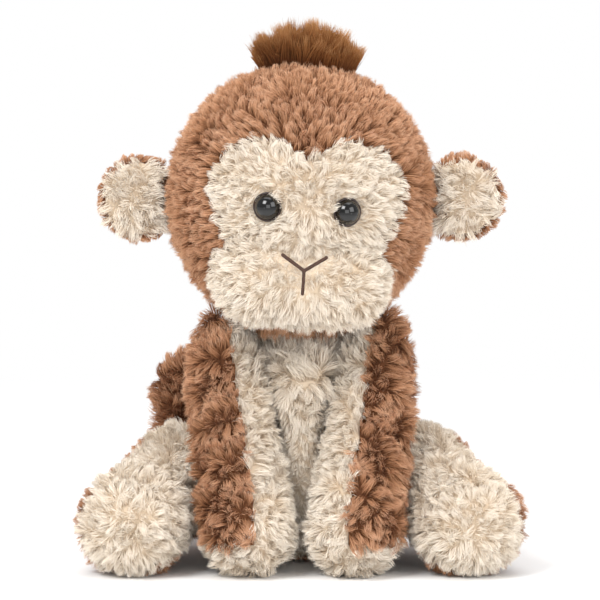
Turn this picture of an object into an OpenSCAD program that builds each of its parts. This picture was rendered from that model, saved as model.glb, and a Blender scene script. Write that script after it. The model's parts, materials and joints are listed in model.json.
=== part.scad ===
// Seated stuffed monkey: plush panels sewn over fibre filling, with a pellet bag in the seat.
// It faces -Y and rests on z = 0. The origin is the middle of the flat seat.
// Left and right are the toy's own, so its left side is at +X. Sizes are in millimetres.

/* [Plush] */
// Thickness of the plush covers, from the filling to the middle of the pile
cover = 4.5; // [3:0.5:6]
// Clearance between soft pieces that move against each other
joint_gap = 0.8; // [0.5:0.1:1.5]

/* [Body] */
// Height of the body, from the seat to the neck
torso_h = 104; // [85:1:130]
// Radius of the body at the belly
torso_r = 43; // [38:1:52]
// Height of the widest part of the belly
belly_z = 34; // [26:1:42]
// Radius of the flat seat
seat_r = 33; // [26:1:36]
// Radius of the flat top that the neck seam runs round
neck_r = 20; // [16:1:26]
// Half the width of the chest panel
chest_half = 29; // [20:1:33]
// Radius of the pellet bag in the seat
bag_r = 21; // [14:1:22]
// Height of the pellet bag
bag_h = 20; // [12:1:26]

/* [Head] */
// Radius of the head
head_r = 61; // [50:1:74]
// How far the head's centre is in front of the middle of the seat
head_out = 9; // [0:1:14]
// Space at the neck, from the body's top to the bottom of the head
neck_gap = 4; // [3:0.5:6]
// How far the face is turned on the head, its crown towards the toy's left
face_tilt = 4; // [0:1:8]
// How far the face is turned towards its left side, in degrees
face_turn = 3; // [0:1:6]
// How far the face is raised, in degrees
face_lift = 3; // [0:1:6]
// Diameter of the neck seam
neck_seam_d = 15; // [10:1:18]
// Diameter of the doubled thread in the neck seam
neck_thread_d = 1.4; // [1:0.1:1.8]

/* [Face] */
// Radius of the two round lobes of the face panel
lobe_r = 24; // [21:1:27]
// Sideways distance from the middle of the face to the centre of a lobe
lobe_x = 21; // [19:1:25]
// Height of the lobes' centres above the centre of the head
lobe_z = 4; // [1:1:8]
// Height of the notch between the lobes, above their centres
notch_h = 16; // [11:1:18]
// Half the width of the panel at its waist, above the muzzle
waist_half = 36; // [30:1:40]
// How far the waist is below the centre of the head
waist_drop = 20; // [14:1:24]
// Radius of the rounded muzzle
muzzle_r = 21; // [16:1:26]
// Width of the muzzle
muzzle_w = 82; // [62:1:90]
// How far the muzzle stands out from the round of the head
muzzle_proud = 14; // [8:1:18]
// Angle of the muzzle below straight ahead
muzzle_angle = 43; // [36:1:48]

/* [Eyes and mouth] */
// Diameter of an eye
eye_d = 12; // [9:0.5:15]
// Distance between the eyes
eye_spacing = 38; // [30:1:46]
// How far the eyes are below the centre of the head
eye_drop = 4; // [0:1:8]
// How far an eye's flat back is sunk into the pile
eye_sink = 3; // [1:0.5:3.5]
// Diameter of an eye's shank
shank_d = 4; // [3:0.5:6]
// Length of an eye's shank
shank_len = 12; // [10:1:20]
// Diameter of the locking washers
washer_d = 15; // [13:0.5:18]
// Thickness of the locking washers
washer_t = 2; // [1:0.5:3]
// Clearance round the shanks, eyes and washers
shank_fit = 0.2; // [0.1:0.05:0.4]
// Diameter of the thread of the nose and mouth
thread_d = 1.8; // [1:0.1:2.5]
// Half the width of the nose stitches
nose_half = 10; // [6:1:14]
// Height of the outer ends of the nose stitches above the middle of the muzzle
nose_top = 12; // [8:0.5:13]
// Height of the point where the nose stitches meet the mouth stitch
nose_meet = 5.5; // [1:0.5:6]
// How far the mouth stitch runs below the middle of the muzzle
mouth_drop = 5; // [3:0.5:11]

/* [Hair and ears] */
// Radius of the fan of hair on the crown
tuft_r = 23; // [16:1:28]
// Depth of the fan of hair, from front to back
tuft_t = 20; // [12:1:28]
// Radius of an ear
ear_r = 21; // [16:1:26]
// Thickness of an ear
ear_t = 13; // [9:1:16]
// Width of the brown rim that folds round the front of an ear
ear_rim = 3; // [2:0.5:6]
// How far an ear's disc is tucked into the side of the head
ear_tuck = 7; // [4:1:9]
// Angle that an ear is cupped forwards
ear_cup = 8; // [0:1:20]
// Swing of an ear each way
ear_swing = 25; // [5:1:30]
// Thickness of the flat sewn root of an ear
ear_root_t = 2.4; // [1.5:0.1:3]
// Height of the sewn root of an ear
ear_root_h = 24; // [14:1:28]

/* [Arms] */
// Radius of an arm at the shoulder
arm_r = 18; // [14:1:22]
// Radius of a hand
hand_r = 21.5; // [17:0.5:26]
// Half the distance between the middles of the shoulders
shoulder_x = 34; // [28:1:38]
// How far the shoulders are in front of the middle of the seat
shoulder_out = 20; // [14:1:26]
// How far the shoulders are below the neck
shoulder_drop = 16; // [14:1:24]
// How far the hands are in front of the middle of the seat
hand_out = 66; // [58:1:76]
// Space between the two hands
hand_space = 6; // [3:1:12]
// Height of the cream hand above the surface that it rests on
hand_h = 15; // [10:1:22]

/* [Legs] */
// Radius of the ball of a leg at the hip
hip_r = 25; // [21:1:27]
// Radius of a leg half way to the foot
calf_r = 22; // [18:1:23]
// Radius of a foot
foot_r = 25; // [20:1:28]
// Half the distance between the hips
hip_x = 56; // [54:1:58]
// Height of the hips above the surface that the toy sits on
hip_z = 36; // [32:1:40]
// How far the hips are behind the middle of the seat
hip_back = 4; // [2:1:8]
// How far the feet are in front of the middle of the seat
foot_out = 62; // [56:1:76]
// Space between a hand and the foot beside it
foot_space = 6; // [5:0.5:8]
// How far a sole's edge is in front of the middle of the foot
sole_edge = 9; // [4:1:14]
// How far the hands and feet are pressed flat
floor_press = 1.5; // [0.5:0.5:3]

/* [Tail] */
// Radius of the tail
tail_r = 9.5; // [7.5:0.5:11]
// Height of the tail's root above the seat
tail_z = 24; // [18:1:32]
// Angle from straight back to the tail's root, round the body
tail_root_angle = 34; // [20:1:50]
// Angle from straight back that the tail leaves at
tail_run_angle = 56; // [44:1:60]
// Length of the tail before its bend
tail_run = 23; // [18:1:30]
// Radius of the bend from level to upright
tail_bend = 22; // [16:1:28]
// Length of the upright stretch
tail_rise = 22; // [10:1:30]
// Radius of the hook at the tip
tail_hook = 13; // [11.5:0.5:18]

/* [Hidden] */
$fn = 48;

LEFT = 1;
RIGHT = -1;
BROWN = [0.60, 0.43, 0.31];
CREAM = [0.94, 0.90, 0.82];
HAIR = [0.36, 0.20, 0.10];
THREAD = [0.22, 0.13, 0.09];
WADDING = [0.97, 0.97, 0.96];
BAG = [0.75, 0.75, 0.78];

// Larger than the whole toy, for cutting solids in two
big = 500;
// Steps in a quarter of a round outline
arc_steps = 4;
// Steps in the outline of the body
torso_steps = 10;
// Steps round a lobe of the face panel
lobe_steps = 12;
// Angle below level at which a lobe's edge turns down to the waist
waist_angle = 30;
// Power that gives the body its round shoulders
shoulder_curve = 0.6;
// Pieces in each run of thread
thread_steps = 3;
// Sides of the thread
thread_sides = 8;
// Air between the surface of the muzzle and the thread that lies on it
thread_gap = 0.15;
// Angle of a leg's side seam round the leg, from level
leg_seam_turn = 45;
// Turn of the hook at the tail's tip
hook_angle = 130;
// More room where a limb or the tail swings in its socket
swing_room = 1.5;
// Sides of the tail
tail_sides = 12;
// How far the opening under the pellet bag runs up into the room for the bag
bag_skirt = 1;
lining_room = 1;

head_c = [0, -head_out, torso_h + neck_gap + head_r];
muzzle_half = muzzle_w / 2 - muzzle_r;
muzzle_reach = head_r + muzzle_proud - muzzle_r;
muzzle_c = [0, -muzzle_reach * cos(muzzle_angle), -muzzle_reach * sin(muzzle_angle)];

notch_angle = asin(notch_h / lobe_r);
eye_yaw = asin(eye_spacing / 2 / head_r);
eye_pitch = asin(eye_drop / head_r);
eye_seat = head_r - eye_sink;
washer_top = sqrt(pow(head_r - cover, 2) - pow(washer_d / 2, 2)) - shank_fit;

ear_half_t = ear_t / 2;
ear_root_gap = ear_half_t * sin(ear_swing) + joint_gap;

hand_x = hand_space / 2 + hand_r;
shoulder = [shoulder_x, -shoulder_out, torso_h - shoulder_drop];
hand = [hand_x, -hand_out, hand_r - floor_press];

foot_x = hand_x + hand_r + foot_space + foot_r;
hip = [hip_x, hip_back, hip_z];
foot = [foot_x, -foot_out, foot_r - floor_press];
leg_len = norm(foot - hip);

tail_root_r = torso_radius(tail_z);
tail_root = [-tail_root_r * sin(tail_root_angle), tail_root_r * cos(tail_root_angle), tail_z];

// Radius of the body at a height
function torso_radius(z) = z < belly_z
    ? seat_r + (torso_r - seat_r) * sin(90 * z / belly_z)
    : neck_r + (torso_r - neck_r) * pow(cos(90 * (z - belly_z) / (torso_h - belly_z)), shoulder_curve);

// Half outline of the body, drawn in from its surface
function torso_outline(inset) = concat(
    [[0, inset]],
    [for (i = [0 : torso_steps]) let (z = torso_h * i / torso_steps)
        [torso_radius(z) - inset, inset + z * (torso_h - 2 * inset) / torso_h]],
    [[0, torso_h - inset]]);

// Half outline of a limb: a ball of radius ra at 0, and one of radius rb at the distance len
function limb_outline(ra, rb, len) = concat(
    [for (i = [0 : arc_steps]) let (a = 90 * i / arc_steps) [ra * sin(a), -ra * cos(a)]],
    [for (i = [0 : arc_steps]) let (a = 90 * i / arc_steps) [rb * cos(a), len + rb * sin(a)]]);

// Half outline of a leg: a limb that is drawn in to the radius rc half way along
function leg_outline(ra, rc, rb, len) = concat(
    [for (i = [0 : arc_steps + 1]) let (a = 90 * i / arc_steps) [ra * sin(a), -ra * cos(a)]],
    [[rc, len / 2]],
    [for (i = [-1 : arc_steps]) let (a = 90 * i / arc_steps) [rb * cos(a), len + rb * sin(a)]]);

// Half outline of a flat round pillow with a rounded edge, of radius r and half thickness t
function pillow_outline(r, t) = concat(
    [[0, -t]],
    [for (i = [0 : 2 * arc_steps]) let (a = -90 + 90 * i / arc_steps) [r - t + t * cos(a), t * sin(a)]],
    [[0, t]]);

// Half outline of the face panel: from the notch round a lobe to the waist, and in under the muzzle
function face_half_outline() = concat(
    [for (i = [0 : lobe_steps]) let (a = 180 - notch_angle + (notch_angle - 180 - waist_angle) * i / lobe_steps)
        [lobe_x + lobe_r * cos(a), lobe_z + lobe_r * sin(a)]],
    [[waist_half, -waist_drop], [muzzle_half, muzzle_c[2]]]);

// Point on the front of the muzzle, where thread lies, at a sideways distance and a height
function on_muzzle(x, z) = let (r = muzzle_r + thread_d / 2 + thread_gap)
    [x, muzzle_c[1] - sqrt(r * r - z * z), muzzle_c[2] + z];

// Places a shape that is made for the toy's left side on either side
module sided(side) {
    if (side == LEFT) children();
    else mirror([1, 0, 0]) children();
}

// Turns a shape that stands along Z so that it runs from a towards b
module along(a, b) {
    d = b - a;
    translate(a) rotate([0, acos(d[2] / norm(d)), atan2(d[1], d[0])]) children();
}

module limb(a, b, ra, rb) {
    along(a, b) rotate_extrude() polygon(limb_outline(ra, rb, norm(b - a)));
}

// A leg, drawn in from its surface by inset and with more room round its hip
module leg_limb(inset, hip_room) {
    along(hip, foot) rotate_extrude()
        polygon(leg_outline(hip_r + hip_room - inset, calf_r - inset, foot_r - inset, leg_len));
}

// Everything below a height
module below(z) {
    translate([-big / 2, -big / 2, z - big]) cube(big);
}

// Everything on the side of the plane y = 0 that sign names
module half_y(sign) {
    translate([-big / 2, sign > 0 ? 0 : -big, -big / 2]) cube(big);
}

// Everything on the side of the plane x = 0 that sign names
module half_x(sign) {
    translate([sign > 0 ? 0 : -big, -big / 2, -big / 2]) cube(big);
}

/* Head */

module at_head() {
    translate(head_c) rotate([-face_lift, face_tilt, face_turn]) children();
}

module muzzle_solid(inset) {
    translate(muzzle_c) {
        rotate([0, 90, 0]) cylinder(h = 2 * muzzle_half, r = muzzle_r - inset, center = true);
        for (s = [LEFT, RIGHT]) translate([s * muzzle_half, 0, 0]) sphere(muzzle_r - inset);
    }
}

module head_inside() {
    sphere(head_r - cover);
    muzzle_solid(cover);
}

module face_prism() {
    half = face_half_outline();
    rotate([90, 0, 0]) linear_extrude(height = 2 * head_r)
        polygon(concat(half, [for (i = [len(half) - 1 : -1 : 0]) [-half[i][0], half[i][1]]]));
}

module at_eye(side) {
    rotate([0, 0, side * eye_yaw]) rotate([90 + eye_pitch, 0, 0]) children();
}

module head_cover(side) {
    color(BROWN) at_head() difference() {
        sphere(head_r);
        head_inside();
        face_prism();
        muzzle_solid(0);
        half_x(-side);
    }
}

module face_panel() {
    color(CREAM) at_head() difference() {
        intersection() {
            sphere(head_r);
            face_prism();
        }
        head_inside();
        muzzle_solid(0);
        for (s = [LEFT, RIGHT]) at_eye(s) {
            cylinder(h = head_r, d = shank_d + 2 * shank_fit);
            translate([0, 0, eye_seat - shank_fit]) cylinder(h = head_r, d = eye_d + 2 * shank_fit);
        }
    }
}

module muzzle_panel() {
    color(CREAM) at_head() difference() {
        muzzle_solid(0);
        head_inside();
    }
}

module head_filling() {
    color(WADDING) at_head() difference() {
        head_inside();
        for (s = [LEFT, RIGHT]) at_eye(s) {
            translate([0, 0, eye_seat - shank_len - shank_fit]) cylinder(h = head_r, d = shank_d + 2 * shank_fit);
            translate([0, 0, washer_top - washer_t - shank_fit]) cylinder(h = head_r, d = washer_d + 2 * shank_fit);
        }
    }
}

module eye(side) {
    color("black") at_head() at_eye(side) translate([0, 0, eye_seat]) {
        difference() {
            sphere(d = eye_d);
            below(0);
        }
        translate([0, 0, -shank_len]) cylinder(h = shank_len, d = shank_d);
    }
}

module eye_washer(side) {
    color("white") at_head() at_eye(side) translate([0, 0, washer_top - washer_t]) difference() {
        cylinder(h = washer_t, d = washer_d);
        translate([0, 0, -washer_t]) cylinder(h = 3 * washer_t, d = shank_d + shank_fit);
    }
}

// A run of thread over the muzzle, from one sideways distance and height to another
module thread_run(from, to) {
    points = [for (i = [0 : thread_steps]) let (p = from + (to - from) * i / thread_steps) on_muzzle(p[0], p[1])];
    for (i = [1 : thread_steps]) hull() {
        translate(points[i - 1]) sphere(d = thread_d, $fn = thread_sides);
        translate(points[i]) sphere(d = thread_d, $fn = thread_sides);
    }
}

module nose_mouth_stitch() {
    color(THREAD) at_head() {
        for (s = [LEFT, RIGHT]) thread_run([s * nose_half, nose_top], [0, nose_meet]);
        thread_run([0, nose_meet], [0, -mouth_drop]);
    }
}

module hair_tuft() {
    color(HAIR) at_head() difference() {
        translate([0, 0, head_r]) rotate([90, 0, 0]) cylinder(h = tuft_t, r = tuft_r, center = true);
        sphere(head_r);
    }
}

/* Ears */

module at_ear(side) {
    sided(side) translate(head_c + [head_r, 0, 0]) rotate([0, 0, -ear_cup]) children();
}

module ear_blank() {
    translate([ear_r - ear_tuck, 0, 0]) rotate([90, 0, 0]) rotate_extrude() polygon(pillow_outline(ear_r, ear_half_t));
}

module ear_pocket() {
    translate([ear_r - ear_tuck, 0, 0]) rotate([90, 0, 0]) cylinder(h = ear_t, r = ear_r - ear_rim);
}

// The round of the head with the room that an ear needs to swing
module ear_root_room() {
    rotate([0, 0, ear_cup]) translate([-head_r, 0, 0]) sphere(head_r + ear_root_gap);
}

module ear_front(side) {
    color(CREAM) at_ear(side) difference() {
        intersection() {
            ear_blank();
            ear_pocket();
        }
        ear_root_room();
    }
}

module ear_back(side) {
    color(BROWN) at_ear(side) {
        difference() {
            ear_blank();
            ear_pocket();
            ear_root_room();
        }
        translate([joint_gap, 0, -ear_root_h / 2]) cube([ear_root_gap + 2, ear_root_t, ear_root_h]);
    }
}

/* Body */

module torso_solid(inset) {
    rotate_extrude() polygon(torso_outline(inset));
}

// The room that the arms, legs and tail take in the body, with a clearance
module sockets(clearance) {
    for (s = [LEFT, RIGHT]) sided(s) {
        limb(shoulder, hand, arm_r + swing_room + clearance, hand_r + clearance);
        leg_limb(-clearance, swing_room);
    }
    translate(tail_root) sphere(tail_r + swing_room + clearance);
}

module body_shell() {
    difference() {
        torso_solid(0);
        difference() {
            torso_solid(cover);
            sockets(joint_gap + cover);
        }
        sockets(joint_gap);
        cylinder(h = cover, r = seat_r);
    }
}

// The linings of the hip sockets are left to the body covers, which they are sewn to
module chest_room() {
    difference() {
        translate([-chest_half, -big, -1]) cube([2 * chest_half, big, big]);
        for (s = [LEFT, RIGHT]) sided(s) leg_limb(-joint_gap - cover - lining_room, swing_room);
    }
}

module body_cover(side) {
    color(BROWN) difference() {
        body_shell();
        chest_room();
        half_x(-side);
    }
}

module chest_panel() {
    color(CREAM) intersection() {
        body_shell();
        chest_room();
    }
}

module seat_panel() {
    color(BROWN) cylinder(h = cover, r = seat_r);
}

module pellet_bag() {
    color(BAG) translate([0, 0, cover + bag_h / 2]) rotate_extrude() polygon(pillow_outline(bag_r, bag_h / 2));
}

// The filling is open below the bag's flat underside, which lies on the seat panel
module body_filling() {
    color(WADDING) difference() {
        torso_solid(cover);
        sockets(joint_gap + cover);
        pellet_bag();
        cylinder(h = cover + bag_skirt, r = bag_r - bag_h / 2);
    }
}

module neck_thread() {
    color(THREAD) translate([0, 0, torso_h + neck_thread_d])
        rotate_extrude() translate([neck_seam_d / 2, 0]) circle(d = neck_thread_d);
}

/* Arms */

module arm_solid(inset) {
    difference() {
        limb(shoulder, hand, arm_r - inset, hand_r - inset);
        below(inset);
    }
}

module arm_shell() {
    difference() {
        arm_solid(0);
        arm_solid(cover);
    }
}

// One half of an arm's sleeve, above the hand: the outer half for a sign of 1, the inner for -1
module arm_half(side, sign) {
    sided(side) difference() {
        arm_shell();
        below(hand_h);
        along(shoulder, hand) half_y(-sign);
    }
}

module arm_outer(side) {
    color(BROWN) arm_half(side, 1);
}

module arm_inner(side) {
    color(CREAM) arm_half(side, -1);
}

module hand_cover(side) {
    color(CREAM) sided(side) intersection() {
        arm_shell();
        below(hand_h);
    }
}

module arm_filling(side) {
    color(WADDING) sided(side) arm_solid(cover);
}

/* Legs */

module leg_solid(inset) {
    difference() {
        leg_limb(inset, 0);
        below(inset);
    }
}

module leg_shell() {
    difference() {
        leg_solid(0);
        leg_solid(cover);
    }
}

module sole_room() {
    along(hip, foot) translate([-big / 2, -big / 2, leg_len + sole_edge]) cube(big);
}

// One half of a leg's cover, behind the sole: the outer half for a sign of 1, the inner for -1
module leg_half(side, sign) {
    sided(side) difference() {
        leg_shell();
        sole_room();
        along(hip, foot) rotate([0, 0, -leg_seam_turn]) half_y(-sign);
    }
}

module leg_outer(side) {
    color(BROWN) leg_half(side, 1);
}

module leg_inner(side) {
    color(CREAM) leg_half(side, -1);
}

module sole(side) {
    color(CREAM) sided(side) intersection() {
        leg_shell();
        sole_room();
    }
}

module leg_filling(side) {
    color(WADDING) sided(side) leg_solid(cover);
}

/* Tail */

// The tail lies in one upright plane: level from its root, bent upright, and hooked back at its tip.
// Each ring across it is [distance out, height, heading, radius].
function tail_rings(r) = let (far = tail_run + tail_bend, top = tail_bend + tail_rise, hook_x = far - tail_hook)
    concat(
        [for (a = [-75 : 25 : 0]) [r * sin(a), 0, 0, r * cos(a)]],
        [for (a = [0 : 22.5 : 90]) [tail_run + tail_bend * sin(a), tail_bend * (1 - cos(a)), a, r]],
        [for (a = [0 : hook_angle / 6 : hook_angle]) [hook_x + tail_hook * cos(a), top + tail_hook * sin(a), 90 + a, r]],
        [for (a = [25 : 25 : 75]) let (end = 90 + hook_angle) [
            hook_x + tail_hook * cos(hook_angle) + r * sin(a) * cos(end),
            top + tail_hook * sin(hook_angle) + r * sin(a) * sin(end), end, r * cos(a)]]);

module tail_solid(inset) {
    rings = tail_rings(tail_r - inset);
    n = tail_sides;
    last = len(rings) - 1;
    points = [for (g = rings) for (k = [0 : n - 1]) let (a = 360 * k / n)
        [g[0] - g[3] * cos(a) * sin(g[2]), g[1] + g[3] * cos(a) * cos(g[2]), g[3] * sin(a)]];
    walls = [for (i = [0 : last - 1]) for (k = [0 : n - 1]) let (next = (k + 1) % n)
        [i * n + k, (i + 1) * n + k, (i + 1) * n + next, i * n + next]];
    ends = [[for (k = [0 : n - 1]) k], [for (k = [n - 1 : -1 : 0]) last * n + k]];
    translate(tail_root) rotate([0, 0, 90 + tail_run_angle]) rotate([90, 0, 0]) polyhedron(points, concat(walls, ends));
}

// One half of the tail's cover: the front half for a sign of -1, the back half for 1
module tail_cover(sign) {
    color(BROWN) difference() {
        tail_solid(0);
        tail_solid(cover);
        translate(tail_root) rotate([0, 0, tail_run_angle - 90]) half_y(-sign);
    }
}

module tail_filling() {
    color(WADDING) tail_solid(cover);
}

head_cover(LEFT);  // head_cover_left
head_cover(RIGHT);  // head_cover_right
face_panel();
muzzle_panel();
head_filling();
eye(LEFT);  // eye_left
eye(RIGHT);  // eye_right
eye_washer(LEFT);  // eye_washer_left
eye_washer(RIGHT);  // eye_washer_right
nose_mouth_stitch();
hair_tuft();
ear_front(LEFT);  // ear_front_left
ear_back(LEFT);  // ear_back_left
ear_front(RIGHT);  // ear_front_right
ear_back(RIGHT);  // ear_back_right
neck_thread();
body_cover(LEFT);  // body_cover_left
body_cover(RIGHT);  // body_cover_right
chest_panel();
seat_panel();
body_filling();
pellet_bag();
arm_outer(LEFT);  // arm_outer_left
arm_inner(LEFT);  // arm_inner_left
hand_cover(LEFT);  // hand_left
arm_filling(LEFT);  // arm_filling_left
arm_outer(RIGHT);  // arm_outer_right
arm_inner(RIGHT);  // arm_inner_right
hand_cover(RIGHT);  // hand_right
arm_filling(RIGHT);  // arm_filling_right
leg_outer(LEFT);  // leg_outer_left
leg_inner(LEFT);  // leg_inner_left
sole(LEFT);  // sole_left
leg_filling(LEFT);  // leg_filling_left
leg_outer(RIGHT);  // leg_outer_right
leg_inner(RIGHT);  // leg_inner_right
sole(RIGHT);  // sole_right
leg_filling(RIGHT);  // leg_filling_right
tail_cover(-1);  // tail_cover_front
tail_cover(1);  // tail_cover_back
tail_filling();
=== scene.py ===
"""The looks of a seated stuffed monkey: sewn plush skins with fur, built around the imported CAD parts.

Each CAD body gets one closed skin, blown up by cloth simulation with its seams held, and the skin is
cut along the CAD panels. Fur grows on every panel as real mesh strands. Everything is in metres, in the
CAD frame.
"""

import json
import math

import bmesh
import bpy
import numpy as np
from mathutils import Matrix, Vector, kdtree
from mathutils.bvhtree import BVHTree


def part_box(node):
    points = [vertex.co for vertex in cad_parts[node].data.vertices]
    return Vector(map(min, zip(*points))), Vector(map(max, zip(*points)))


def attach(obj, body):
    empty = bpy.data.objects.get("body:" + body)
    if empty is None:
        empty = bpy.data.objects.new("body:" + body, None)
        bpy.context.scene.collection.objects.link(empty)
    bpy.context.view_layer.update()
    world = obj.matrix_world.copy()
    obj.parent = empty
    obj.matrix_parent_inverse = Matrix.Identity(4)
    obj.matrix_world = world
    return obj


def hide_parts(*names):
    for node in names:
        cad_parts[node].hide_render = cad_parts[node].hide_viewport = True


MM = 0.001
SIDES = ("left", "right")

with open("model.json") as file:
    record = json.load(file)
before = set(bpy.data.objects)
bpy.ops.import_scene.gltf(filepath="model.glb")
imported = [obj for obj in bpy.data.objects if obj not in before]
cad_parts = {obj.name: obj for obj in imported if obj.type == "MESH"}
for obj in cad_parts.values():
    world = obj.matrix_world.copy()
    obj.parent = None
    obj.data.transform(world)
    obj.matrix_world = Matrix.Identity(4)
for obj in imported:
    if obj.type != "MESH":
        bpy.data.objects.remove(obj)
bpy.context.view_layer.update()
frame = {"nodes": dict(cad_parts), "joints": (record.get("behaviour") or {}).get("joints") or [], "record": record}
NODES = frame["nodes"]
BODIES = frame["record"]["behaviour"]["bodies"]
JOINT_AT = {joint["name"]: np.array(joint["pos_m"]) for joint in frame["joints"]}


# ---------------------------------------------------------------- places taken from the frame

def middle(node):
    """The middle of a CAD node's box."""
    low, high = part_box(node)
    return np.array((low + high) / 2)


HEAD_AT = (JOINT_AT["ear_left_fold"] + JOINT_AT["ear_right_fold"]) / 2
NECK_AT = (JOINT_AT["head_turn"] + JOINT_AT["head_nod"]) / 2


def node_points(node):
    """A CAD node's vertices."""
    mesh = NODES[node].data
    flat = np.empty(len(mesh.vertices) * 3)
    mesh.vertices.foreach_get("co", flat)
    return flat.reshape(-1, 3)


def furthest_from_head(node):
    """The point of a CAD node that is furthest from the middle of the head."""
    points = node_points(node)
    return points[np.linalg.norm(points - HEAD_AT, axis=1).argmax()]


EYE_AT = {side: furthest_from_head("eye_" + side) for side in SIDES}
FACE_AT = (EYE_AT["left"] + EYE_AT["right"]) / 2


# ---------------------------------------------------------------- materials

def linear(red, green, blue):
    """A colour from its 0 to 255 screen values, as linear values with alpha."""
    return tuple((v / 255) ** 2.2 for v in (red, green, blue)) + (1.0,)


def new_material(name):
    """An empty material with its node tree and main shader."""
    material = bpy.data.materials.new(name)
    material.use_nodes = True
    tree = material.node_tree
    return material, tree, tree.nodes["Principled BSDF"]


def ramp_node(tree, value, stops):
    """A colour ramp through stops, (place, colour), driven by value."""
    node = tree.nodes.new("ShaderNodeValToRGB")
    elements = node.color_ramp.elements
    while len(elements) < len(stops):
        elements.new(0.5)
    for element, (place, colour) in zip(elements, stops):
        element.position = place
        element.color = colour
    tree.links.new(value, node.inputs["Fac"])
    return node.outputs["Color"]


def plush(name, dark, light, sheen):
    """Fur. The OFBake map's V runs from a strand's root to its tip, its U from deep to pale strands. The colours
    darken towards the root: partly the fur's own tone, partly painted shade of the deep pile.
    """
    material, tree, shader = new_material(name)
    uv = tree.nodes.new("ShaderNodeUVMap")
    uv.uv_map = "OFBake"
    split = tree.nodes.new("ShaderNodeSeparateXYZ")
    tree.links.new(uv.outputs["UV"], split.inputs[0])
    mix = tree.nodes.new("ShaderNodeMix")
    mix.data_type = "RGBA"
    # V ramps darken towards the root: partly the fur's own tone, partly painted shade of the deep pile
    places = (0.0, 0.35, 0.75, 1.0)
    tree.links.new(split.outputs["X"], mix.inputs["Factor"])
    tree.links.new(ramp_node(tree, split.outputs["Y"], list(zip(places, dark))), mix.inputs["A"])
    tree.links.new(ramp_node(tree, split.outputs["Y"], list(zip(places, light))), mix.inputs["B"])
    tree.links.new(mix.outputs["Result"], shader.inputs["Base Color"])
    shader.inputs["Roughness"].default_value = 0.85
    shader.inputs["Specular IOR Level"].default_value = 0.25
    shader.inputs["Sheen Weight"].default_value = sheen
    shader.inputs["Sheen Roughness"].default_value = 0.5
    shader.inputs["Sheen Tint"].default_value = light[-1]
    return material


def spotted(name, low, high, scale, roughness, depth, coat=0.0):
    """A solid whose colour and relief vary over a noise of the given scale, in spots a metre."""
    material, tree, shader = new_material(name)
    place = tree.nodes.new("ShaderNodeTexCoord")
    noise = tree.nodes.new("ShaderNodeTexNoise")
    noise.inputs["Scale"].default_value = scale
    noise.inputs["Detail"].default_value = 6
    tree.links.new(place.outputs["Object"], noise.inputs["Vector"])
    colour = ramp_node(tree, noise.outputs["Fac"], [(0.3, low), (0.7, high)])
    tree.links.new(colour, shader.inputs["Base Color"])
    bump = tree.nodes.new("ShaderNodeBump")
    bump.inputs["Distance"].default_value = depth
    bump.inputs["Strength"].default_value = 0.6
    tree.links.new(noise.outputs["Fac"], bump.inputs["Height"])
    tree.links.new(bump.outputs["Normal"], shader.inputs["Normal"])
    shader.inputs["Roughness"].default_value = roughness
    shader.inputs["Coat Weight"].default_value = coat
    shader.inputs["Coat Roughness"].default_value = 0.03
    return material


# each list runs from root to tip; the darker root colours are partly the fur's own tone, partly painted shade of
# the deep pile
BROWN = plush(
    "brown_plush",
    [linear(78, 46, 28), linear(132, 86, 56), linear(174, 122, 86), linear(200, 150, 114)],
    [linear(122, 78, 50), linear(184, 132, 96), linear(218, 170, 134), linear(236, 197, 168)],
    0.25,
)
CREAM = plush(
    "cream_plush",
    [linear(220, 200, 174), linear(236, 221, 201), linear(243, 231, 214), linear(247, 238, 225)],
    [linear(228, 211, 189), linear(240, 227, 210), linear(246, 236, 222), linear(250, 243, 232)],
    0.15,
)
HAIR = plush(
    "hair_plush",
    [linear(34, 16, 8), linear(74, 40, 20), linear(112, 66, 34), linear(150, 98, 56)],
    [linear(58, 30, 14), linear(118, 70, 36), linear(168, 112, 66), linear(222, 172, 118)],
    0.2,
)
FILLING = spotted("fibre_filling", linear(214, 214, 210), linear(244, 244, 240), 900, 0.95, 0.8 * MM)
PELLETS = spotted("pellet_bag", linear(188, 184, 172), linear(222, 218, 208), 420, 0.85, 1.2 * MM)
THREAD = spotted("dark_thread", linear(52, 34, 26), linear(84, 58, 46), 1600, 0.7, 0.2 * MM)
NECK_THREAD = spotted("neck_thread", linear(96, 64, 46), linear(132, 92, 68), 1600, 0.75, 0.2 * MM)
EYE = spotted("eye_plastic", linear(4, 3, 3), linear(9, 7, 6), 60, 0.08, 0.002 * MM, coat=0.3)
EYE_RIM = spotted("eye_rim", linear(34, 18, 10), linear(58, 34, 20), 300, 0.35, 0.05 * MM, coat=0.4)
WASHER = spotted("washer_plastic", linear(196, 198, 200), linear(220, 222, 224), 200, 0.4, 0.05 * MM)


# ---------------------------------------------------------------- skins

# how far a skin is drawn in from the CAD covers before it is blown up, and how far it may then move
SKIN_INSET = 3.0 * MM
PUFF_CAP = 2.5 * MM

# the cloth simulation
PRESSURE = 4
STIFFNESS = 12
BENDING = 0.6
CLOTH_MASS = 0.2
CLOTH_QUALITY = 4
SIM_FRAMES = 20

# how far seams are drawn in, and the least height of a skin over the filling
SEAM_SINK = 0.4 * MM
OVER_FILLING = 0.6 * MM

# the chest's swell between the arms: its height, its reach across as a share of the shoulder's place,
# and its reach upward
CHEST_SWELL = 10.0 * MM
CHEST_ACROSS = 0.32
CHEST_UPRIGHT = 14 * MM

# the rise of the arms' tops: its height, where it is whole, and what it leaves free under the head
SHOULDER_SWELL = 14.0 * MM
SHOULDER_RISE = 14 * MM
SHOULDER_INNER = -10 * MM
SHOULDER_OUTER = 8 * MM
UNDER_HEAD = 4 * MM

# how far past the skin the panel over a point is looked for
OUTSIDE = 2.5 * MM

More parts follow.
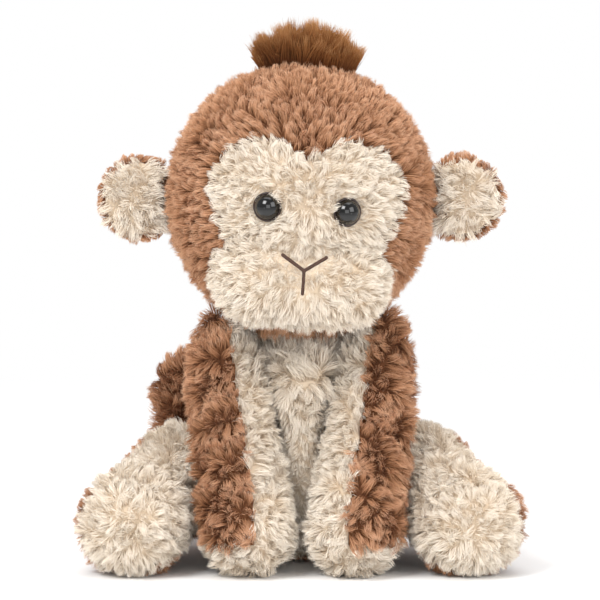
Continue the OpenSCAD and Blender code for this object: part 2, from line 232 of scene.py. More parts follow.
# the fabric panels of each body, and the size of its first mesh
COVERS = {
    "torso": (["body_cover_left", "body_cover_right", "chest_panel", "seat_panel"], 4.0 * MM),
    "head": (["head_cover_left", "head_cover_right", "face_panel", "muzzle_panel"], 4.0 * MM),
    "tail": (["tail_cover_front", "tail_cover_back"], 2.5 * MM),
}
for side in SIDES:
    COVERS["ear_" + side] = ([f"ear_front_{side}", f"ear_back_{side}"], 2.0 * MM)
    COVERS["arm_" + side] = ([f"arm_outer_{side}", f"arm_inner_{side}", f"hand_{side}"], 3.5 * MM)
    COVERS["leg_" + side] = ([f"leg_outer_{side}", f"leg_inner_{side}", f"sole_{side}"], 3.5 * MM)
INSET = {"ear_left": 2.0 * MM, "ear_right": 2.0 * MM, "tail": 2.2 * MM}


def coordinates(mesh):
    """(the vertices' places, the vertices' normals) of a mesh."""
    places = np.empty(len(mesh.vertices) * 3)
    mesh.vertices.foreach_get("co", places)
    normals = np.empty(len(mesh.vertices) * 3)
    mesh.vertices.foreach_get("normal", normals)
    return places.reshape(-1, 3), normals.reshape(-1, 3)


def evaluated(obj):
    """A new mesh of obj with its modifiers applied."""
    graph = bpy.context.evaluated_depsgraph_get()
    return bpy.data.meshes.new_from_object(obj.evaluated_get(graph), depsgraph=graph)


def settle(obj):
    """Applies all of obj's modifiers to its mesh."""
    mesh = evaluated(obj)
    obj.modifiers.clear()
    obj.data = mesh


def cover_tree(covers):
    """(a search tree over these CAD nodes' faces, the number of each face's node)."""
    points, faces, owner = [], [], []
    for number, node in enumerate(covers):
        base = len(points)
        mesh = NODES[node].data
        points += [v.co.copy() for v in mesh.vertices]
        faces += [[base + v for v in p.vertices] for p in mesh.polygons]
        owner += [number] * len(mesh.polygons)
    return BVHTree.FromPolygons(points, faces), np.array(owner)


def panel_of(points, normals, tree, owner):
    """The number of the CAD panel that each point of a skin lies under."""
    outside = points + normals * (SKIN_INSET + OUTSIDE)
    return np.array([owner[tree.find_nearest(Vector(p))[2]] for p in outside])


def start_skin(body):
    """A body's closed skin before it is blown up: its CAD solids as one remeshed surface, drawn in."""
    covers, voxel = COVERS[body]
    builder = bmesh.new()
    for node in BODIES[body]:
        if node in covers or node.endswith("filling") or "_filling_" in node:
            builder.from_mesh(NODES[node].data)
    mesh = bpy.data.meshes.new("skin_" + body)
    builder.to_mesh(mesh)
    builder.free()
    skin = bpy.data.objects.new("skin_" + body, mesh)
    bpy.context.scene.collection.objects.link(skin)
    remesh = skin.modifiers.new("remesh", "REMESH")
    remesh.mode = "VOXEL"
    remesh.voxel_size = voxel
    soften = skin.modifiers.new("soften", "SMOOTH")
    soften.factor = 0.5
    soften.iterations = 3
    settle(skin)
    places, normals = coordinates(skin.data)
    places -= normals * INSET.get(body, SKIN_INSET)
    skin.data.vertices.foreach_set("co", places.ravel())
    skin.data.update()
    return skin


def seam_points(skin, body):
    """The vertices of a skin that lie on a seam between two panels."""
    tree, owner = cover_tree(COVERS[body][0])
    panel = panel_of(*coordinates(skin.data), tree, owner)
    edges = np.empty(len(skin.data.edges) * 2, int)
    skin.data.edges.foreach_get("vertices", edges)
    edges = edges.reshape(-1, 2)
    split = panel[edges[:, 0]] != panel[edges[:, 1]]
    return np.unique(edges[split])


def add_cloth(skin, seams):
    """Makes a skin into cloth under pressure, held along its seams."""
    group = skin.vertex_groups.new(name="seams")
    group.add([int(v) for v in seams], 1.0, "REPLACE")
    cloth = skin.modifiers.new("cloth", "CLOTH")
    settings = cloth.settings
    settings.quality = CLOTH_QUALITY
    settings.mass = CLOTH_MASS
    settings.tension_stiffness = STIFFNESS
    settings.compression_stiffness = STIFFNESS
    settings.bending_stiffness = BENDING
    settings.use_pressure = True
    settings.uniform_pressure_force = PRESSURE
    settings.vertex_group_mass = "seams"
    settings.effector_weights.gravity = 0
    cloth.point_cache.frame_end = SIM_FRAMES


def clear_filling(body, places, normals):
    """Lifts the points of a skin that came too close to the filling under it."""
    tree, _ = cover_tree([n for n in BODIES[body] if "filling" in n])
    for number, point in enumerate(places):
        found, facing, _, _ = tree.find_nearest(Vector(point))
        height = (Vector(point) - found).dot(facing)
        if height < OVER_FILLING:
            places[number] += normals[number] * (OVER_FILLING - height)
    return places


def swell_chest(places):
    """Fills out the upper chest between the arms."""
    shoulder = JOINT_AT["arm_left_swing"]
    low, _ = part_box("chest_panel")
    front = smooth_step(-places[:, 1], -0.4 * low[1], -0.8 * low[1])
    across = np.exp(-0.5 * (places[:, 0] / (CHEST_ACROSS * shoulder[0])) ** 2)
    upright = np.exp(-0.5 * ((places[:, 2] - shoulder[2]) / CHEST_UPRIGHT) ** 2)
    places[:, 1] -= CHEST_SWELL * front * across * upright
    return places


def swell_shoulder(side, places):
    """Raises the top of an arm towards the underside of the head."""
    tree, _ = cover_tree(["head_cover_left", "head_cover_right", "muzzle_panel"])
    shoulder = JOINT_AT[f"arm_{side}_swing"]
    past_shoulder = np.abs(places[:, 0]) - abs(shoulder[0])
    lift = SHOULDER_SWELL * smooth_step(places[:, 2] - shoulder[2], 0, SHOULDER_RISE)
    lift *= smooth_step(past_shoulder, SHOULDER_INNER, SHOULDER_OUTER)
    for number in np.nonzero(lift > 0)[0]:
        gap = tree.find_nearest(Vector(places[number]))[3]
        places[number, 2] += min(lift[number], max(gap - UNDER_HEAD, 0))
    return places


def blow_up(skins):
    """Runs the cloth of all the skins together and keeps each point within the cap."""
    before, seams = {}, {}
    for body, skin in skins.items():
        seams[body] = seam_points(skin, body)
        before[body] = coordinates(skin.data)[0]
        add_cloth(skin, seams[body])
    for number in range(1, SIM_FRAMES + 1):
        bpy.context.scene.frame_set(number)
    for body, skin in skins.items():
        settle(skin)
        places, normals = coordinates(skin.data)
        moved = places - before[body]
        size = np.linalg.norm(moved, axis=1, keepdims=True)
        places = before[body] + moved * np.minimum(1, PUFF_CAP / np.maximum(size, 1e-9))
        places[seams[body]] -= normals[seams[body]] * SEAM_SINK
        skin.data.vertices.foreach_set("co", places.ravel())
        skin.data.update()
        skin.modifiers.new("round", "SUBSURF").levels = 1
        settle(skin)
        if any("filling" in node for node in BODIES[body]):
            places = clear_filling(body, *coordinates(skin.data))
            if body == "torso":
                places = swell_chest(places)
            if body.startswith("arm_"):
                places = swell_shoulder(body.split("_")[1], places)
            skin.data.vertices.foreach_set("co", places.ravel())
            skin.data.update()
    bpy.context.scene.frame_set(1)


# ---------------------------------------------------------------- fur

MAX_TRIANGLES = 195000
SKIN_THICKNESS = 2.0 * MM
STRAND_TRIANGLES = 5
FLOOR_GAP = 0.4 * MM
ROOT_DEPTH = 0.4 * MM
LOCK_SPACING = 2.2

# how near another body's covers the fur is shortest and whole, and how short it gets
COVER_NEAR = 2 * MM
COVER_FAR = 8 * MM
COVER_LEAST = 0.35
COVER_SEARCH = 12 * MM

# the height over or under the neck seam, and the distance from its axis, where the fur turns towards it
NECK_HEIGHT = (8 * MM, 24 * MM)
NECK_REACH = (36 * MM, 56 * MM)
NECK_BEHIND = (-12 * MM, 6 * MM)
NECK_PULL = 1.6

# the bodies whose fur may mix with the head's
MIXING = ("head", "torso", "arm_left", "arm_right", "ear_left", "ear_right")


class Swirl:
    """A smooth random height over space. Its slope combs the fur into whorls of about the given size."""

    def __init__(self, size, seed):
        rng = np.random.default_rng(seed)
        axes = rng.normal(size=(9, 3))
        axes /= np.linalg.norm(axes, axis=1, keepdims=True)
        self.waves = axes * (2 * math.pi / size) * rng.uniform(0.7, 1.4, (9, 1))
        self.phase = rng.uniform(0, 2 * math.pi, 9)
        self.axes = axes

    def height(self, points):
        """From about -1 to 1."""
        return np.sin(points @ self.waves.T + self.phase).sum(1) / 3.2

    def slope(self, points):
        """The direction uphill, about 1 long where it is steep."""
        return np.cos(points @ self.waves.T + self.phase) @ self.axes / 1.8


def unit(vectors):
    """Vectors made 1 long."""
    return vectors / np.maximum(np.linalg.norm(vectors, axis=-1, keepdims=True), 1e-12)


def flat_on(vectors, normals):
    """Vectors with what stands along the normals taken out."""
    return vectors - normals * (vectors * normals).sum(-1, keepdims=True)


def smooth_step(value, low, high):
    """0 under low, 1 over high, smooth between."""
    t = np.clip((value - low) / (high - low), 0, 1)
    return t * t * (3 - 2 * t)


def away_from(point, strength=1.0):
    """A comb that runs away from a point."""
    return lambda places: unit(places - point) * strength


def along(vector):
    """A comb in one direction."""
    return lambda places: np.broadcast_to(np.array(vector, float), places.shape)


def toward_neck(comb, behind=False):
    """A comb that turns towards the neck seam near it, so the fur of head and body meets there.

    With behind, it turns only at the back of the neck.
    """
    def turned(places):
        offset = NECK_AT - places
        gap = np.linalg.norm(offset[:, :2], axis=1)
        near = 1 - smooth_step(np.abs(offset[:, 2]), *NECK_HEIGHT)
        near = (near * (1 - smooth_step(gap, *NECK_REACH)))[:, None]
        if behind:
            near = near * smooth_step(-offset[:, 1:2], *NECK_BEHIND)
        upright = np.sign(offset[:, 2:]) * np.array([[0, 0, 1.0]])
        return comb(places) * (1 - near) + NECK_PULL * near * upright

    return turned


class Pelt:
    """How the fur of one panel grows. Lengths are in metres."""

    def __init__(self, material, comb, length, lean=0.8, whorl=0.8, whorl_size=0.022, lock=2.0 * MM,
                 gather=0.75, density=3.4, width=0.27 * MM, droop=0.05, loose=0.3):
        self.material = material
        self.comb = comb
        self.length = length
        self.lean = lean
        self.whorl = whorl
        self.whorl_size = whorl_size
        self.lock = lock
        self.gather = gather
        self.density = density
        self.width = width
        self.droop = droop
        self.loose = loose


def scatter(corners, normals, count, rng):
    """count random points on triangles, with their normals."""
    sides = corners[:, 1:] - corners[:, :1]
    area = np.linalg.norm(np.cross(sides[:, 0], sides[:, 1]), axis=1)
    chosen = np.searchsorted(np.cumsum(area) / area.sum(), rng.random(count))
    a, b = rng.random((2, count, 1))
    flip = a + b > 1
    a, b = np.where(flip, 1 - a, a), np.where(flip, 1 - b, b)
    share = np.stack([1 - a - b, a, b], 1)
    return (corners[chosen] * share).sum(1), unit((normals[chosen] * share).sum(1))


def nearest(points, targets):
    """The number of the nearest target to each point."""
    tree = kdtree.KDTree(len(targets))
    for number, target in enumerate(targets):
        tree.insert(target, number)
    tree.balance()
    return np.array([tree.find(p)[1] for p in points])


def blades(roots, bends, tips, facing, width, shares, rng):
    """Thin tapering blades along curves.

    Returns (vertices, corners, corner counts, the corners of one blade).
    """
    count = len(roots)
    rows = []
    heading = unit(tips - roots)
    across = unit(np.cross(heading, facing + 0.55 * rng.normal(size=facing.shape)))
    for share, taper in shares:
        at = (1 - share) ** 2 * roots + 2 * share * (1 - share) * bends + share ** 2 * tips
        if taper:
            rows += [at - across * width * taper / 2, at + across * width * taper / 2]
        else:
            rows.append(at)
    vertices = np.stack(rows, 1)
    vertices[..., 2] = np.maximum(vertices[..., 2], FLOOR_GAP)
    steps = len(shares) - 1
    local = []
    for step in range(steps - 1):
        base = 2 * step
        local += [base, base + 1, base + 3, base + 2]
    local += [2 * steps - 2, 2 * steps - 1, 2 * steps]
    corners = np.arange(count)[:, None] * len(rows) + np.array(local)
    counts = np.tile([4] * (steps - 1) + [3], count)
    return vertices.reshape(-1, 3), corners.ravel(), counts, np.array(local)


def blade_uv(tone, local, shares):
    """The OFBake map of blades: U is the strand's tone and V its place along the strand."""
    place = []
    for share, taper in shares:
        place += [share, share] if taper else [share]
    v = np.array(place)[local] * 0.96 + 0.02
    side = np.where(np.array(local) % 2 == 1, 0.012, -0.012)
    u = np.clip(tone[:, None] + side, 0.01, 0.99)
    return np.stack([u, np.broadcast_to(v, u.shape)], -1).reshape(-1, 2)


STRAND_SHARES = ((0.0, 0.8), (0.42, 1.0), (0.78, 0.65), (1.0, 0))


def grow(corners, normals, pelt, count, rng, seed, guards, layers):
    """The fur of one panel in layers: locks of strands whose tips gather, combed over the skin."""
    roots, up = scatter(corners, normals, count, rng)
    lock_count = max(4, int(count / pelt.density / (pelt.lock / MM) ** 2 / LOCK_SPACING))
    locks, lock_up = scatter(corners, normals, lock_count, rng)
    swirl = Swirl(pelt.whorl_size, seed)
    of_lock = nearest(roots, locks)

    def direction(places, ups):
        comb = pelt.comb(places) + pelt.whorl * swirl.slope(places)
        return unit(ups + pelt.lean * flat_on(comb, ups))

    lock_way = unit(direction(locks, lock_up) + pelt.loose * rng.normal(size=locks.shape))
    lock_length = pelt.length * rng.uniform(0.75, 1.2, (len(locks), 1))
    lock_tip = locks + lock_way * lock_length
    length = pelt.length * rng.uniform(0.7, 1.1, (count, 1))
    shorten = np.ones((count, 1))
    for guard in guards:
        shorten = shorten * guard(roots)[:, None]
    way = unit(direction(roots, up) + pelt.loose * rng.normal(size=roots.shape))
    tips = roots + way * length
    tips += (lock_tip[of_lock] - tips) * pelt.gather * rng.uniform(0.6, 1.2, (count, 1))
    tips = roots + (tips - roots) * shorten
    tips[:, 2] -= pelt.droop * length[:, 0]
    bends = roots + (up * 0.75 + way * 0.25) * length * shorten * 0.55
    width = pelt.width * rng.uniform(0.7, 1.3, (count, 1))
    lock_tone = rng.uniform(0, 1, len(locks))[of_lock]
    tone = 0.42 * (0.5 + 0.5 * swirl.height(roots)) + 0.3 * lock_tone + 0.28 * rng.random(count)
    furs = []
    for layer in range(layers):
        own = slice(layer, None, layers)
        starts = roots[own] - up[own] * ROOT_DEPTH
        vertices, corner, counts, local = blades(
            starts, bends[own], tips[own], up[own], width[own], STRAND_SHARES, rng
        )
        furs.append((vertices, corner, counts, blade_uv(tone[own], local, STRAND_SHARES)))
    return furs


def patch(places, normals, faces, swirl):
    """A closed piece of skin: these faces, the same faces drawn in, and a rim around them."""
    used, faces = np.unique(faces, return_inverse=True)
    faces = faces.reshape(-1, 4)
    outer = places[used]
    inner = outer - normals[used] * SKIN_THICKNESS
    inner[:, 2] = np.maximum(inner[:, 2], FLOOR_GAP)
    edges = np.stack([faces, np.roll(faces, -1, 1)], -1).reshape(-1, 2)
    _, first, seen = np.unique(np.sort(edges, 1), axis=0, return_index=True, return_counts=True)
    rim = edges[first[seen == 1]]
    total = len(used)
    walls = np.stack([rim[:, 1], rim[:, 0], rim[:, 0] + total, rim[:, 1] + total], 1)
    quads = np.vstack([faces, faces[:, ::-1] + total, walls])
    vertices = np.vstack([outer, inner])
    tone = 0.5 + 0.3 * swirl.height(vertices)
    # the skin takes the fur's root colours: partly the fur's own tone, partly painted shade of the deep pile
    uv = np.stack([tone, np.tile([0.03, 0.08], len(vertices))[: len(vertices)]], 1)
    return vertices, quads.ravel(), np.full(len(quads), 4), uv[quads.ravel()]


def build_mesh(name, parts, material):
    """One object from several (vertices, corners, corner counts, UV) parts."""
    vertices, corners, counts, uvs, base = [], [], [], [], 0
    for points, corner, count, uv in parts:
        vertices.append(points)
        corners.append(corner + base)
        counts.append(count)
        uvs.append(uv)
        base += len(points)
    vertices, corners = np.vstack(vertices), np.concatenate(corners)
    counts, uvs = np.concatenate(counts), np.vstack(uvs)
    mesh = bpy.data.meshes.new(name)
    mesh.vertices.add(len(vertices))
    mesh.vertices.foreach_set("co", vertices.astype(np.float32).ravel())
    mesh.loops.add(len(corners))
    mesh.loops.foreach_set("vertex_index", corners.astype(np.int32))
    mesh.polygons.add(len(counts))
    starts = np.concatenate([[0], np.cumsum(counts)[:-1]])
    mesh.polygons.foreach_set("loop_start", starts.astype(np.int32))
    layer = mesh.uv_layers.new(name="OFBake")
    layer.data.foreach_set("uv", uvs.astype(np.float32).ravel())
    mesh.update(calc_edges=True)
    mesh.materials.append(material)
    mesh.shade_smooth()
    obj = bpy.data.objects.new(name, mesh)
    bpy.context.scene.collection.objects.link(obj)
    return obj


def clearance_guard(body):
    """Shortens the fur where another body's covers lie close over the skin.

    The head's fur may mix with that of the torso, arms and ears.
    """
    others = []
    for other, (covers, _) in COVERS.items():
        mixes = "head" in (other, body) and other in MIXING and body in MIXING
        if other != body and not mixes:
            others += covers
    tree, _ = cover_tree(others)

    def share(places):
        gaps = [tree.find_nearest(Vector(p), COVER_SEARCH)[3] for p in places]
        gaps = np.array([COVER_SEARCH if g is None else g for g in gaps])
        return COVER_LEAST + (1 - COVER_LEAST) * smooth_step(gaps, COVER_NEAR, COVER_FAR)

    return share


def spot_guard(spots, near, far, least):
    """Shortens the fur around points: to least within near, and not at all past far."""
    def share(places):
        gap = np.linalg.norm(places[:, None] - spots[None], axis=2).min(1)
        return least + (1 - least) * smooth_step(gap, near, far)

    return share


def long_guard(middle_point, reach, longer):
    """Lengthens the fur around a point, by longer at the point itself."""
    def share(places):
        gap = np.linalg.norm(places - middle_point, axis=1)
        return 1 + (longer - 1) * (1 - smooth_step(gap, 0.4 * reach, reach))

    return share


def plush_panels(body, skin, pelts, guards):
    """Cuts a skin along the CAD panels and grows each panel's fur.

    One piece stands for each CAD panel.
    """
    covers = COVERS[body][0]
    tree, owner = cover_tree(covers)
    places, normals = coordinates(skin.data)
    faces = np.empty(len(skin.data.polygons) * 4, int)
    skin.data.polygons.foreach_get("vertices", faces)
    faces = faces.reshape(-1, 4)
    centre, up = places[faces].mean(1), unit(normals[faces].mean(1))
    panel = panel_of(centre, up, tree, owner)
    for number, node in enumerate(covers):
        pelt = pelts[node]
        mine = faces[panel == number]
        triangles = np.vstack([mine[:, [0, 1, 2]], mine[:, [0, 2, 3]]])
        corners = places[triangles]
        area = 0.5 * np.linalg.norm(
            np.cross(corners[:, 1] - corners[:, 0], corners[:, 2] - corners[:, 0]), axis=1
        ).sum()
        seed = sum(ord(letter) for letter in node)
        rng = np.random.default_rng(seed)
        base = patch(places, normals, mine, Swirl(pelt.whorl_size, seed))
        room = (MAX_TRIANGLES - 2 * len(base[2])) // STRAND_TRIANGLES
        count = int(area / MM ** 2 * pelt.density)
        layers = math.ceil(count / room)
        furs = grow(corners, normals[triangles], pelt, count, rng, seed, guards, layers)
        for layer, fur in enumerate(furs):
            name = f"{node}_plush" if layer == 0 else f"{node}_pile_{layer}"
            piece = build_mesh(name, [base, fur] if layer == 0 else [fur], pelt.material)
            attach(piece, body)
            if layer == 0:
                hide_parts(node)
    bpy.data.objects.remove(skin)


# ---------------------------------------------------------------- the pelts

DOWN = (0, 0, -1)


def pelts_of(body):
    """The pelt of each panel of a body."""
    if body == "head":
        face_comb = away_from(FACE_AT)
        head_comb = away_from(FACE_AT, 0.8)
        muzzle_comb = toward_neck(away_from(middle("nose_mouth_stitch")))
        brown = Pelt(
            BROWN, toward_neck(head_comb, behind=True), 8 * MM, lean=0.9, whorl=0.35, whorl_size=0.03
        )
        return {
            "head_cover_left": brown,
            "head_cover_right": brown,
            "face_panel": Pelt(CREAM, face_comb, 7 * MM, lean=0.6, whorl=0.35, loose=0.5),
            "muzzle_panel": Pelt(CREAM, muzzle_comb, 7 * MM, lean=0.6, whorl=0.35, loose=0.5),
        }
    if body == "torso":
        brown = Pelt(BROWN, toward_neck(along(DOWN)), 8 * MM, whorl=0.6)
        return {
            "body_cover_left": brown,
            "body_cover_right": brown,
            "chest_panel": Pelt(CREAM, toward_neck(along(DOWN)), 7.5 * MM, whorl=0.5, loose=0.5),
            "seat_panel": Pelt(BROWN, away_from(middle("seat_panel")), 6 * MM, lean=1.5),
        }
    if body == "tail":
        brown = Pelt(BROWN, along((0, 0.3, 0.6)), 8 * MM)
        return {"tail_cover_front": brown, "tail_cover_back": brown}
    limb, side = body.split("_")
    if limb == "ear":
        comb = away_from(middle("ear_front_" + side))
        return {
            f"ear_front_{side}": Pelt(CREAM, comb, 7.5 * MM, lean=0.8, whorl=0.3, loose=0.5),
            f"ear_back_{side}": Pelt(BROWN, along((0, 1, 0)), 4.5 * MM, lean=1.4),
        }
    if limb == "arm":
        outer_comb = toward_neck(along((0, -0.2, -0.5)))
        inner_comb = toward_neck(along((0, -0.2, -0.6)))
        hand_comb = away_from(middle("hand_" + side))
        return {
            f"arm_outer_{side}": Pelt(BROWN, outer_comb, 8.5 * MM, whorl=0.9),
            f"arm_inner_{side}": Pelt(CREAM, inner_comb, 7.5 * MM, whorl=0.5, loose=0.5),
            f"hand_{side}": Pelt(CREAM, hand_comb, 7.5 * MM, whorl=0.5, loose=0.5),
        }
    sole_comb = away_from(middle("sole_" + side))
    return {
        f"leg_outer_{side}": Pelt(BROWN, along((0, -0.7, -0.2)), 8 * MM),
        f"leg_inner_{side}": Pelt(CREAM, along((0, -0.6, -0.2)), 7.5 * MM, whorl=0.5, loose=0.5),
        f"sole_{side}": Pelt(CREAM, sole_comb, 7 * MM, lean=0.6, whorl=0.4, loose=0.5),
    }


def chest_front():
    """The front of the chest, just under the chin."""
    low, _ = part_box("chest_panel")
    shoulder = JOINT_AT["arm_left_swing"]
    return np.array([0, 0.85 * low[1], shoulder[2]])


def belly_spots():
    """Places down the middle of the belly, between the arms."""
    low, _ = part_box("chest_panel")
    heights = np.linspace(0.2, 0.55, 4) * JOINT_AT["arm_left_swing"][2]
    return np.array([[0, 0.8 * low[1], z] for z in heights])


def guards_of(body):
    """What shortens or lengthens the fur of a body."""
    guards = [clearance_guard(body)]
    if body == "head":
        stitch_spots = node_points("nose_mouth_stitch")[::6]
        eye_spots = np.array(list(EYE_AT.values()))
        guards.append(spot_guard(stitch_spots, 4 * MM, 8 * MM, 0.3))
        guards.append(spot_guard(eye_spots, 7.5 * MM, 13 * MM, 0.3))
    if body in ("head", "torso", "arm_left", "arm_right"):
        guards.append(long_guard(NECK_AT, 52 * MM, 1.7))
    if body == "torso":
        guards.append(long_guard(chest_front(), 24 * MM, 1.3))
        guards.append(spot_guard(belly_spots(), 12 * MM, 26 * MM, 0.55))
    return guards


# ---------------------------------------------------------------- hair, eyes, nose and mouth

HAIR_COUNT = 12000
HAIR_LOCKS = 170
HAIR_SHARES = ((0.0, 0.8), (0.25, 1.0), (0.5, 0.95), (0.78, 0.65), (1.0, 0))
HAIR_BACK = np.array([0, 1.0, 0])


def hair_tuft():
    """The tuft of long faux fur sewn into the crown seam: locks that stand up and fan out."""
    low, high = (np.array(corner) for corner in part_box("hair_tuft"))
    rng = np.random.default_rng(11)
    half_wide = (high[0] - low[0]) / 2
    crown = unit(np.array([(low[0] + high[0]) / 2, HEAD_AT[1], high[2]]) - HEAD_AT)
    seam = np.linalg.norm(node_points("hair_tuft") - HEAD_AT, axis=1).min() - 2 * MM
    tall = (high[2] - HEAD_AT[2]) - seam
    side_way = unit(np.cross(HAIR_BACK, crown))

    def root_of(turn, depth):
        place = crown * seam + side_way * (turn * 0.92 * half_wide)[:, None]
        place = place + HAIR_BACK * (depth * 6.5 * MM * np.sqrt(1 - 0.9 * turn ** 2))[:, None]
        return HEAD_AT + unit(place) * seam

    turn, depth = rng.uniform(-1, 1, (2, HAIR_LOCKS))
    lock_root = root_of(turn, depth)
    fan = side_way * (0.34 * turn - 0.06)[:, None] + HAIR_BACK * (0.4 * depth)[:, None]
    lock_way = unit(crown + fan + 0.14 * rng.normal(size=(HAIR_LOCKS, 3)))
    lock_tall = tall * (0.96 - 0.34 * np.abs(turn) ** 2.5) * rng.uniform(0.62, 1.1, HAIR_LOCKS)
    lock_tip = lock_root + lock_way * lock_tall[:, None]

    lock = rng.integers(0, HAIR_LOCKS, HAIR_COUNT)
    own_turn = np.clip(turn[lock] + 0.09 * rng.normal(size=HAIR_COUNT), -1, 1)
    own_depth = np.clip(depth[lock] + 0.25 * rng.normal(size=HAIR_COUNT), -1, 1)
    roots = root_of(own_turn, own_depth)
    height = (lock_tall[lock] * rng.uniform(0.7, 1.04, HAIR_COUNT))[:, None]
    tips = roots + unit(lock_way[lock] + 0.1 * rng.normal(size=(HAIR_COUNT, 3))) * height
    tips += (lock_tip[lock] - tips) * 0.8 * rng.uniform(0.3, 1, (HAIR_COUNT, 1))
    bends = roots + unit(unit(roots - HEAD_AT) + 0.35 * lock_way[lock]) * height * 0.55
    width = 0.3 * MM * rng.uniform(0.6, 1.3, (HAIR_COUNT, 1))
    facing = np.broadcast_to(-HAIR_BACK, roots.shape)
    vertices, corner, counts, local = blades(roots, bends, tips, facing, width, HAIR_SHARES, rng)
    lock_tone = rng.random(HAIR_LOCKS)[lock]
    tone = np.clip(0.05 + 0.5 * lock_tone + 0.12 * own_turn + 0.35 * rng.random(HAIR_COUNT), 0, 1)
    fur = (vertices, corner, counts, blade_uv(tone, local, HAIR_SHARES))
    piece = build_mesh("hair_tuft_fur", [fur], HAIR)
    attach(piece, "head")
    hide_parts("hair_tuft")


def ring_mesh(name, radius, thick, around, across):
    """A round ring about Z, flattened a little."""
    builder = bmesh.new()
    rings = []
    for i in range(around):
        turn = 2 * math.pi * i / around
        ring = []
        for k in range(across):
            roll = 2 * math.pi * k / across
            reach = radius + thick * math.cos(roll)
            spot = (reach * math.cos(turn), reach * math.sin(turn), 0.7 * thick * math.sin(roll))
            ring.append(builder.verts.new(spot))
        rings.append(ring)
    for i in range(around):
        for k in range(across):
            here, there = rings[i], rings[(i + 1) % around]
            builder.faces.new((here[k], there[k], there[(k + 1) % across], here[(k + 1) % across]))
    mesh = bpy.data.meshes.new(name)
    builder.to_mesh(mesh)
    builder.free()
    mesh.shade_smooth()
    return mesh


def eye_rims():
    """The brown rim around each eye's dome."""
    for side in SIDES:
        apex = EYE_AT[side]
        way = unit(apex - HEAD_AT)
        points = node_points("eye_" + side) - HEAD_AT
        off = np.linalg.norm(points - (points @ way)[:, None] * way, axis=1)
        radius = off.max()
        base = (points @ way)[off > 0.98 * radius].min()
        mesh = ring_mesh("eye_rim_" + side, radius + 0.2 * MM, 0.6 * MM, 48, 10)
        rim = bpy.data.objects.new("eye_rim_" + side, mesh)
        bpy.context.scene.collection.objects.link(rim)
        rim.rotation_euler = Vector(way).to_track_quat("Z", "Y").to_euler()
        rim.location = HEAD_AT + way * (base + 0.8 * MM)
        mesh.materials.append(EYE_RIM)
        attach(rim, "head")


STITCH_LIFT = 3.0 * MM


def nose_and_mouth():
    """The stitched nose and mouth, pulled up onto the pile."""
    source = NODES["nose_mouth_stitch"].data
    mesh = source.copy()
    mesh.name = "nose_mouth_thread"
    mesh.materials.clear()
    mesh.materials.append(THREAD)
    piece = bpy.data.objects.new("nose_mouth_thread", mesh)
    bpy.context.scene.collection.objects.link(piece)
    places, _ = coordinates(mesh)
    outward = np.array([0, -1.0, 0])
    mesh.vertices.foreach_set("co", (places + outward * STITCH_LIFT).ravel())
    remesh = piece.modifiers.new("whole", "REMESH")
    remesh.mode = "VOXEL"
    remesh.voxel_size = 0.3 * MM
    soften = piece.modifiers.new("soften", "SMOOTH")
    soften.factor = 0.5
    soften.iterations = 4
    settle(piece)
    piece.data.materials.clear()
    piece.data.materials.append(THREAD)
    piece.data.shade_smooth()
    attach(piece, "head")
    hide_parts("nose_mouth_stitch")


def dress_nodes():
    """Gives every CAD node that stays its own material."""
    for name, node in NODES.items():
        material = None
        if "filling" in name:
            material = FILLING
        elif name == "pellet_bag":
            material = PELLETS
        elif name == "neck_thread":
            material = NECK_THREAD
        elif name.startswith("eye_washer"):
            material = WASHER
        elif name.startswith("eye_"):
            material = EYE
        if material:
            node.data.materials.clear()
            node.data.materials.append(material)
            node.data.shade_smooth()


# ---------------------------------------------------------------- studio

VIEW_PITCH = math.radians(6)
VIEW_WIDTH = 0.2838
VIEW_DISTANCE = 2.2
VIEW_MIDDLE = (-0.0005, 0.1192)
SKY_LIGHT = 0.55
FLOOR_REACH = 3.0
FLOOR_DROP = 0.2 * MM

# the distances from the toy where the paper starts to glow, and where it is all glow
GLOW_FROM = 0.16
GLOW_TO = 0.7

# each lamp's name, place, width in metres and power in watts
LAMPS = (
    ("key", (-0.9, -1.2, 1.5), 0.9, 28),
    ("fill", (1.3, -1.2, 0.9), 1.2, 14),
    ("front", (0.1, -2.0, 0.35), 1.2, 9),
    ("top", (0.1, 0.3, 1.7), 1.4, 14),
)
LAMPS_AIM = (0, 0, 0.12)
SENSOR = 36


def studio_paper():
    """White paper that glows more and more with the distance from the toy, like a lit studio sweep."""
    paper = spotted("studio_paper", linear(250, 250, 250), linear(253, 253, 253), 40, 0.9, 0.01 * MM)
    tree = paper.node_tree
    place = tree.nodes.new("ShaderNodeTexCoord")
    distance = tree.nodes.new("ShaderNodeVectorMath")
    distance.operation = "LENGTH"
    tree.links.new(place.outputs["Object"], distance.inputs[0])
    fade = tree.nodes.new("ShaderNodeMapRange")
    fade.interpolation_type = "SMOOTHSTEP"
    fade.inputs["From Min"].default_value = GLOW_FROM
    fade.inputs["From Max"].default_value = GLOW_TO
    tree.links.new(distance.outputs["Value"], fade.inputs["Value"])
    glow = tree.nodes.new("ShaderNodeEmission")
    blend = tree.nodes.new("ShaderNodeMixShader")
    tree.links.new(fade.outputs["Result"], blend.inputs[0])
    tree.links.new(tree.nodes["Principled BSDF"].outputs[0], blend.inputs[1])
    tree.links.new(glow.outputs[0], blend.inputs[2])
    tree.links.new(blend.outputs[0], tree.nodes["Material Output"].inputs["Surface"])
    return paper


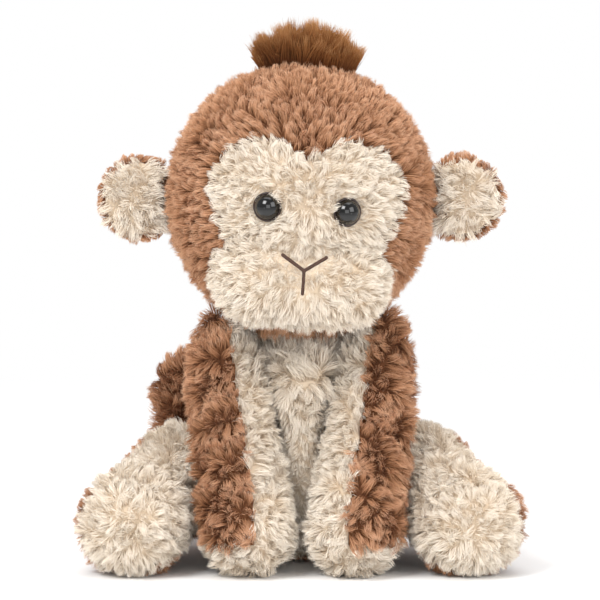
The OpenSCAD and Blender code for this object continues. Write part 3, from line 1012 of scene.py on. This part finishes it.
def studio():
    """A pale floor, soft lights, and the camera."""
    builder = bmesh.new()
    bmesh.ops.create_circle(builder, cap_ends=True, segments=96, radius=FLOOR_REACH)
    mesh = bpy.data.meshes.new("studio_floor")
    builder.to_mesh(mesh)
    builder.free()
    floor = bpy.data.objects.new("studio_floor", mesh)
    floor.location.z = -FLOOR_DROP
    bpy.context.scene.collection.objects.link(floor)
    mesh.materials.append(studio_paper())

    world = bpy.data.worlds.new("studio")
    world.use_nodes = True
    sky = world.node_tree.nodes["Background"]
    sky.inputs["Color"].default_value = (1, 1, 1, 1)
    rays = world.node_tree.nodes.new("ShaderNodeLightPath")
    strength = world.node_tree.nodes.new("ShaderNodeMapRange")
    strength.inputs["To Min"].default_value = SKY_LIGHT
    strength.inputs["To Max"].default_value = 1.0
    world.node_tree.links.new(rays.outputs["Is Camera Ray"], strength.inputs["Value"])
    world.node_tree.links.new(strength.outputs["Result"], sky.inputs["Strength"])
    bpy.context.scene.world = world

    for name, place, size, power in LAMPS:
        lamp = bpy.data.lights.new(name, "AREA")
        lamp.size = size
        lamp.energy = power
        light = bpy.data.objects.new(name, lamp)
        light.location = place
        way = Vector(LAMPS_AIM) - Vector(place)
        light.rotation_euler = way.to_track_quat("-Z", "Y").to_euler()
        bpy.context.scene.collection.objects.link(light)

    lens = bpy.data.cameras.new("camera")
    lens.sensor_width = SENSOR
    lens.lens = SENSOR * VIEW_DISTANCE / VIEW_WIDTH
    camera = bpy.data.objects.new("camera", lens)
    bpy.context.scene.collection.objects.link(camera)
    back_way = Vector((0, -math.cos(VIEW_PITCH), math.sin(VIEW_PITCH)))
    up_way = Vector((0, math.sin(VIEW_PITCH), math.cos(VIEW_PITCH)))
    aim = Vector((VIEW_MIDDLE[0], 0, 0)) + up_way * VIEW_MIDDLE[1]
    camera.location = aim + back_way * VIEW_DISTANCE
    camera.rotation_euler = (math.pi / 2 - VIEW_PITCH, 0, 0)
    bpy.context.scene.camera = camera
    bpy.context.scene.view_settings.view_transform = "Standard"


# ---------------------------------------------------------------- the whole

studio()
dress_nodes()
skins = {body: start_skin(body) for body in COVERS}
blow_up(skins)
for body, skin in skins.items():
    plush_panels(body, skin, pelts_of(body), guards_of(body))
hair_tuft()
eye_rims()
nose_and_mouth()
